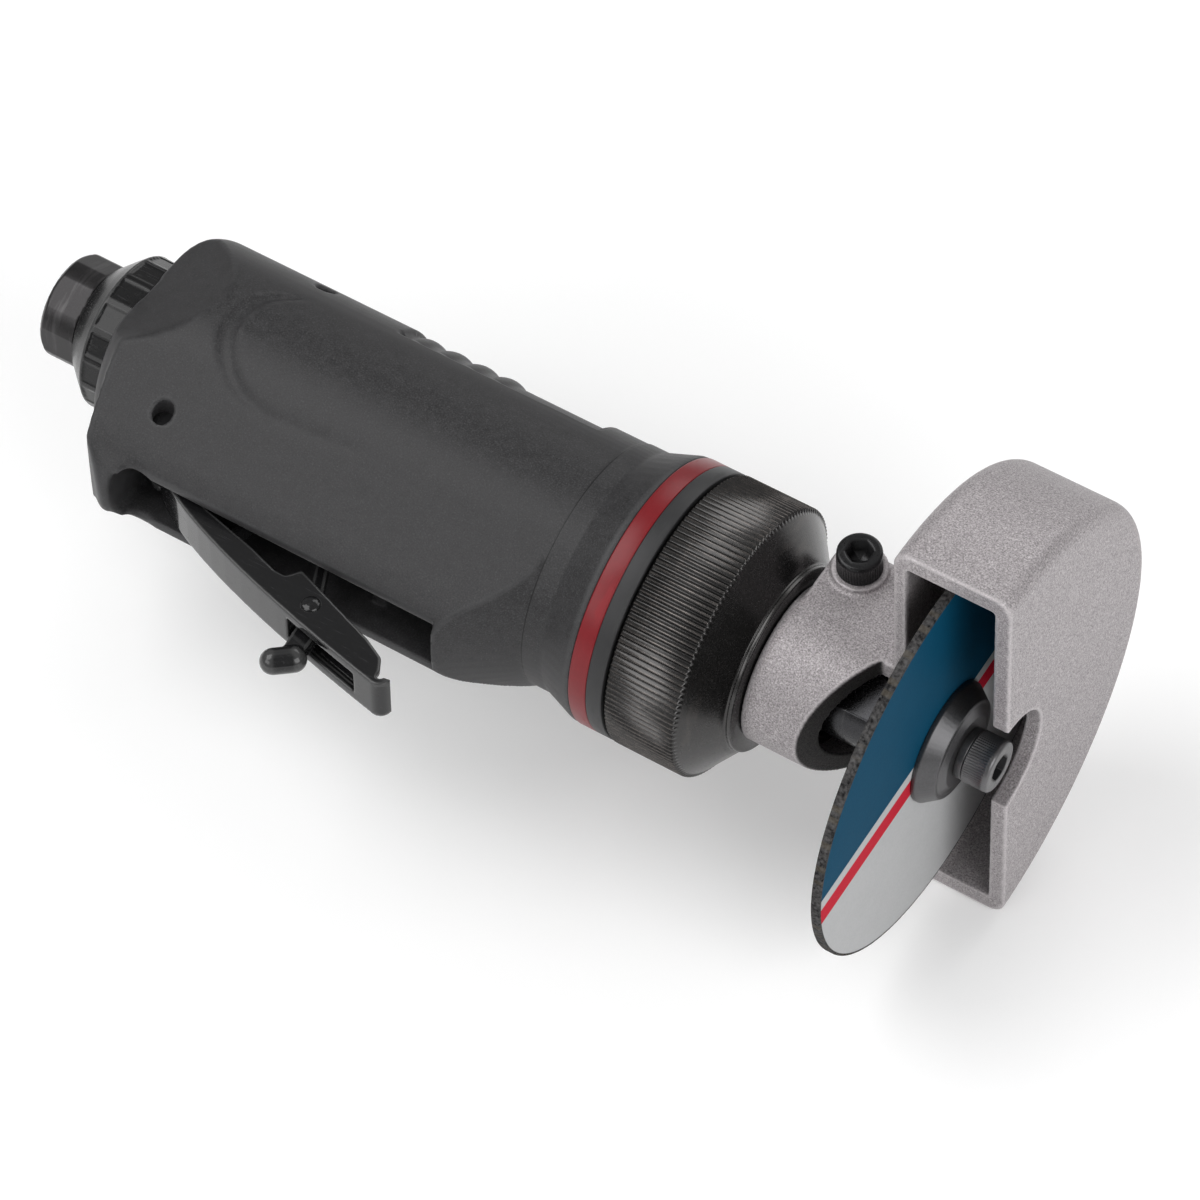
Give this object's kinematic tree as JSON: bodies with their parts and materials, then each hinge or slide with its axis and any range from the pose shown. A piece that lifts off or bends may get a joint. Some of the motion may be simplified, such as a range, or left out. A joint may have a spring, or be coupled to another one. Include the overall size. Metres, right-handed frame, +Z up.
{
  "type": "pneumatic cut off tool",
  "caption": "In-line air cut off tool: moulded grip, sprung throttle lever with lock latch, knurled nose nut, and a swivelling cast guard over a thin cutting disc.",
  "frame": {"origin": "middle of the air inlet's mouth, on the tool axis", "axes": "+X along the tool axis from the inlet to the disc, +Z up as the tool lies on its side, the throttle lever faces -Y"},
  "size_m": [0.1793, 0.0902, 0.0888],
  "materials": {
    "housing": "fine matte moulding",
    "inlet_steel": "dark gunmetal, brushed flats",
    "exhaust_black": "gloss black",
    "felt": "pressed felt",
    "accent_red": "satin deep red",
    "spacer_black": "satin black",
    "nut_steel": "black oxide, worn knurl",
    "motor_steel": "ground steel",
    "vane": "laminated resin",
    "cage_brass": "stamped brass",
    "spindle_steel": "black oxide",
    "disc": "printed abrasive disc",
    "guard_alloy": "blasted casting",
    "lever_black": "gloss black enamel",
    "rubber": "nitrile",
    "brass": "turned brass",
    "spring_steel": "drawn wire"
  },
  "bodies": {
    "handle": {"housing": "housing", "air_inlet": "inlet_steel", "inlet_screen": "brass", "inlet_o_ring": "rubber", "exhaust_felt": "felt", "accent_ring": "accent_red", "spacer_ring": "spacer_black", "nose_nut": "nut_steel", "motor_gasket": "rubber", "rear_end_plate": "motor_steel", "cylinder_liner": "motor_steel", "front_end_plate": "motor_steel", "liner_dowel": "motor_steel", "rear_bearing_outer": "motor_steel", "front_bearing_outer": "motor_steel", "lever_pin": "spindle_steel", "valve_bush": "brass", "valve_spring": "spring_steel"},
    "spindle": {"rotor": "motor_steel", "rotor_vanes": "vane", "spindle": "spindle_steel", "rear_bearing_inner": "motor_steel", "front_bearing_inner": "motor_steel", "inner_flange": "spindle_steel", "cutting_disc": "disc", "outer_flange": "spindle_steel", "bolt_washer": "spindle_steel", "disc_bolt": "spindle_steel"},
    "bearing_balls": {"rear_bearing_balls": "motor_steel", "rear_bearing_cage": "cage_brass", "front_bearing_balls": "motor_steel", "front_bearing_cage": "cage_brass"},
    "exhaust_ring": {"exhaust_ring": "exhaust_black"},
    "guard": {"guard": "guard_alloy", "guard_screw": "spindle_steel"},
    "lever": {"throttle_lever": "lever_black", "latch_pin": "lever_black", "latch_spring": "spring_steel"},
    "latch": {"lock_latch": "lever_black"},
    "valve": {"valve_stem": "brass", "valve_o_ring": "rubber"}
  },
  "joints": [
    {"name": "spindle_spin", "type": "hinge", "parent": "handle", "child": "spindle", "pos_m": [0.12, 0, 0], "axis": [1, 0, 0], "continuous": true},
    {"name": "ball_sets", "type": "hinge", "parent": "handle", "child": "bearing_balls", "pos_m": [0.12, 0, 0], "axis": [1, 0, 0], "continuous": true},
    {"name": "guard_swivel", "type": "hinge", "parent": "handle", "child": "guard", "pos_m": [0.145, 0, 0], "axis": [1, 0, 0], "continuous": true},
    {"name": "exhaust_turn", "type": "hinge", "parent": "handle", "child": "exhaust_ring", "pos_m": [0.012, 0, 0], "axis": [1, 0, 0], "continuous": true},
    {"name": "lever_squeeze", "type": "hinge", "parent": "handle", "child": "lever", "pos_m": [0.0336, -0.0193, 0], "axis": [0, 0, 1], "range_deg": [0, 9.5], "stiffness_Nm_per_rad": 1.2, "springref_deg": -8.59},
    {"name": "latch_swing", "type": "hinge", "parent": "lever", "child": "latch", "pos_m": [0.0717, -0.0336, 0], "axis": [0, 0, 1], "range_deg": [0, 28.2]},
    {"name": "valve_push", "type": "slide", "parent": "handle", "child": "valve", "axis": [0, 1, 0], "range_m": [0, 0.0032], "deforming": ["valve_spring"]}
  ],
  "couplings": [
    {"joint": "ball_sets", "follows": "spindle_spin", "ratio": 0.365},
    {"joint": "latch_swing", "follows": "lever_squeeze", "ratio": 2.947},
    {"joint": "valve_push", "follows": "lever_squeeze", "m_per_rad": 0.0192}
  ]
}
